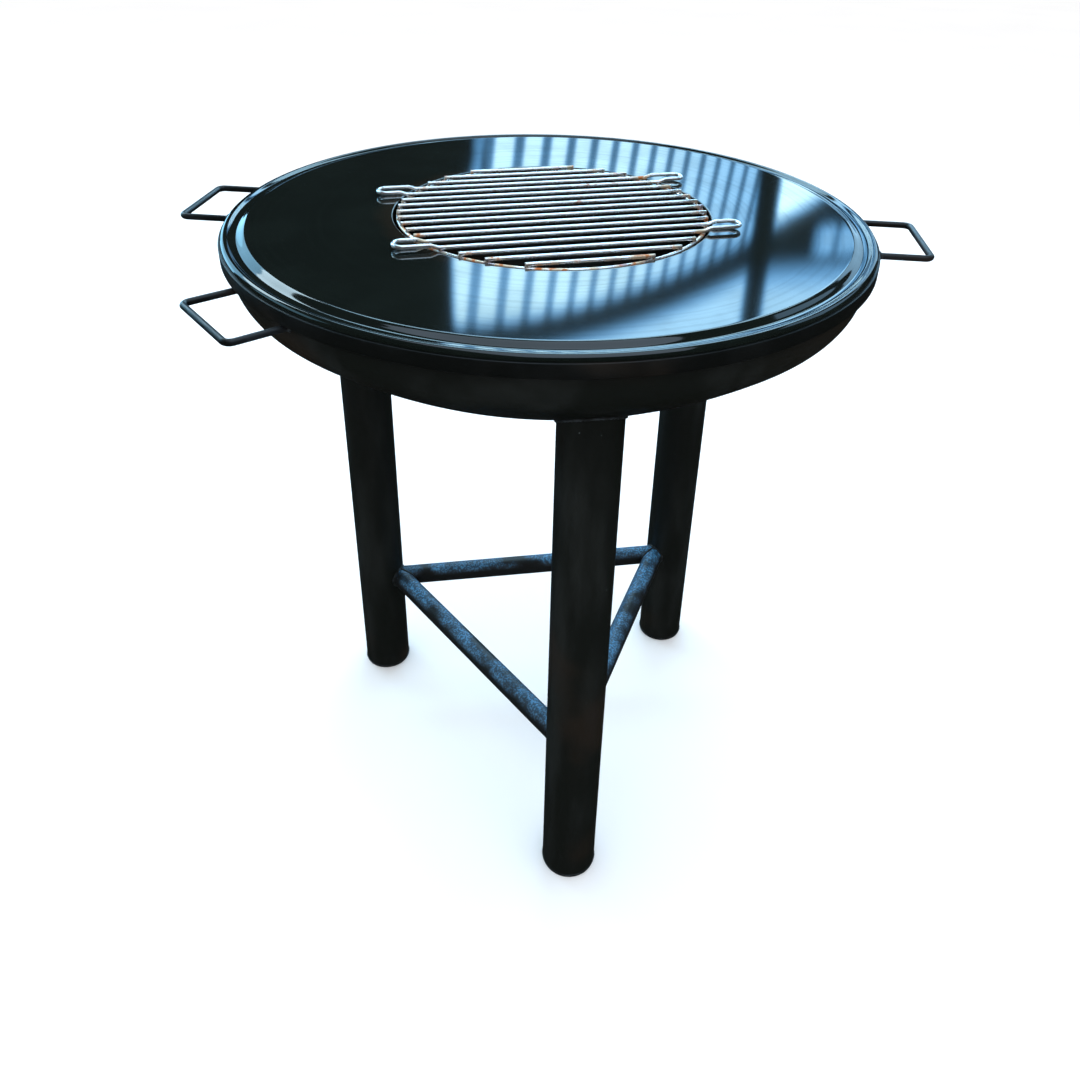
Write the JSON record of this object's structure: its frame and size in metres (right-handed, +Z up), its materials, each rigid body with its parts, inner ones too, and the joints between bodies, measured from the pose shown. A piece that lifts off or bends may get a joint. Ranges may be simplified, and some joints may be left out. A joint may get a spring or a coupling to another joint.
{
  "type": "fire bowl",
  "caption": "Fire bowl on pipe legs with a lift-off griddle ring and a lift-out wire grate, burning charcoal or wood for cooking and heating iron.",
  "frame": {"origin": "on the floor, on the vertical axis of the bowl", "axes": "+Z up along the axis of the bowl, -Y towards the front leg, +X to the right of a person facing that leg"},
  "size_m": [0.9434, 0.824, 0.8984],
  "materials": {
    "black_paint": "satin black heat-proof paint, dusty",
    "seasoned_steel": "oiled and heat-blackened, glossy",
    "bright_steel": "drawn wire, heat tinted at the welds"
  },
  "bodies": {
    "stand": {"fire_bowl": "black_paint", "leg_front": "black_paint", "leg_left": "black_paint", "leg_right": "black_paint", "foot_disc_front": "black_paint", "foot_disc_left": "black_paint", "foot_disc_right": "black_paint", "brace_back": "black_paint", "brace_left": "black_paint", "brace_right": "black_paint", "bowl_handle_left": "black_paint", "bowl_handle_right": "black_paint"},
    "griddle": {"griddle_plate": "seasoned_steel", "plate_skirt": "black_paint", "plate_handle_left": "black_paint", "plate_handle_right": "black_paint", "grate_tab_1": "seasoned_steel", "grate_tab_2": "seasoned_steel", "grate_tab_3": "seasoned_steel", "grate_tab_4": "seasoned_steel"},
    "grate": {"grate_ring": "bright_steel", "grate_loop_front": "bright_steel", "grate_loop_back": "bright_steel", "grate_bar_01": "bright_steel", "grate_bar_02": "bright_steel", "grate_bar_03": "bright_steel", "grate_bar_04": "bright_steel", "grate_bar_05": "bright_steel", "grate_bar_06": "bright_steel", "grate_bar_07": "bright_steel", "grate_bar_08": "bright_steel", "grate_bar_09": "bright_steel", "grate_bar_10": "bright_steel", "grate_bar_11": "bright_steel", "grate_bar_12": "bright_steel", "grate_bar_13": "bright_steel"}
  },
  "joints": [
    {"name": "griddle_lift", "type": "slide", "parent": "stand", "child": "griddle", "axis": [0, 0, 1], "range_m": [0, 0.3]},
    {"name": "grate_lift", "type": "slide", "parent": "griddle", "child": "grate", "axis": [0, 0, 1], "range_m": [0, 0.25]}
  ]
}
